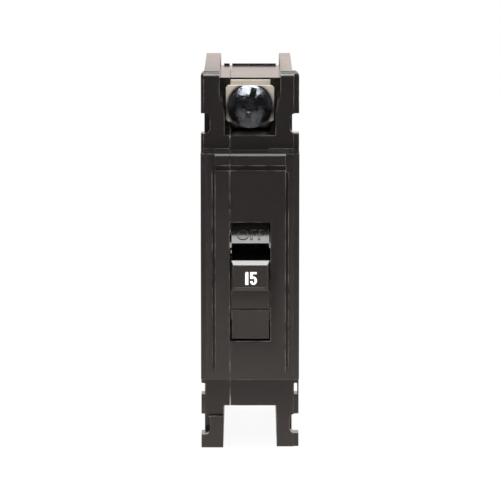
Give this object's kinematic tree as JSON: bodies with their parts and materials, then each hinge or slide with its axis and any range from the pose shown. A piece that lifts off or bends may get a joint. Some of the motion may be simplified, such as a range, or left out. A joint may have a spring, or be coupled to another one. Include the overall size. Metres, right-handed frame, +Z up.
{
  "type": "plug-on circuit breaker",
  "caption": "Narrow black moulded-case circuit breaker with toggle handle, recessed wire clamp terminal and plug-on stab jaw.",
  "frame": {"origin": "middle of the bounding box on the plane of the feet's undersides", "axes": "+Z up from the feet to the wire terminal, +X to the right seen from the front, the handle faces -Y"},
  "size_m": [0.0254, 0.0676, 0.0985],
  "materials": {
    "moulded_case": "semi-gloss black thermoset moulding",
    "handle_plastic": "semi-gloss black moulding",
    "screw_steel": "bright zinc plated steel",
    "zinc_steel": "zinc plated steel",
    "tin_plate": "tin plated, warm white",
    "copper": "plain copper",
    "silver": "silver alloy contact",
    "spring_steel": "drawn spring steel",
    "bimetal": "rolled bimetal strip",
    "magnet_steel": "dull plated soft iron",
    "vulcanised_fibre": "red-brown fibre sheet"
  },
  "bodies": {
    "housing": {"base": "moulded_case", "cover": "moulded_case", "rivet_1": "zinc_steel", "rivet_2": "zinc_steel", "rivet_3": "zinc_steel", "rivet_4": "zinc_steel", "stationary_contact": "silver", "line_strap": "copper", "line_jaw_left": "copper", "line_jaw_right": "copper", "jaw_clip": "spring_steel", "load_strap": "tin_plate", "bimetal": "bimetal", "calibration_screw": "zinc_steel", "magnet_yoke": "magnet_steel", "armature_spring": "spring_steel", "cradle_pin": "zinc_steel", "main_spring": "spring_steel", "flexible_braid": "copper", "arc_plate_1": "magnet_steel", "arc_plate_2": "magnet_steel", "arc_plate_3": "magnet_steel", "arc_plate_4": "magnet_steel", "arc_plate_5": "magnet_steel", "arc_side_left": "vulcanised_fibre", "arc_side_right": "vulcanised_fibre", "vent_baffle": "vulcanised_fibre"},
    "handle": {"handle": "handle_plastic"},
    "contact_arm": {"contact_arm": "copper", "moving_contact": "silver"},
    "cradle": {"cradle": "magnet_steel"},
    "armature": {"armature": "magnet_steel"},
    "clamp_plate": {"clamp_plate": "tin_plate"},
    "terminal_screw": {"terminal_screw": "screw_steel"}
  },
  "joints": [
    {"name": "handle_swing", "type": "hinge", "parent": "housing", "child": "handle", "pos_m": [0.0001, -0.00225, 0.044], "axis": [-1, 0, 0], "range_deg": [0, 18]},
    {"name": "contact_arm_swing", "type": "hinge", "parent": "handle", "child": "contact_arm", "pos_m": [0.0001, 0.00355, 0.045], "axis": [-1, 0, 0], "range_deg": [-42, 0], "deforming": ["main_spring", "flexible_braid"]},
    {"name": "cradle_trip", "type": "hinge", "parent": "housing", "child": "cradle", "pos_m": [0.0001, -0.00675, 0.0696], "axis": [-1, 0, 0], "range_deg": [0, 15], "deforming": ["main_spring"]},
    {"name": "armature_trip", "type": "hinge", "parent": "housing", "child": "armature", "pos_m": [0.0001, 0.01575, 0.0755], "axis": [1, 0, 0], "range_deg": [0, 4]},
    {"name": "clamp_lift", "type": "slide", "parent": "housing", "child": "clamp_plate", "axis": [0, 1, 0], "range_m": [-0.00079, 0.00238]},
    {"name": "terminal_screw_turn", "type": "hinge", "parent": "clamp_plate", "child": "terminal_screw", "pos_m": [0, -0.01355, 0.089], "axis": [0, 1, 0], "range_deg": [-360, 1080]}
  ],
  "couplings": [
    {"joint": "contact_arm_swing", "follows": "handle_swing", "ratio": -2.3333},
    {"joint": "terminal_screw_turn", "follows": "clamp_lift", "rad_per_m": 7915.8}
  ]
}
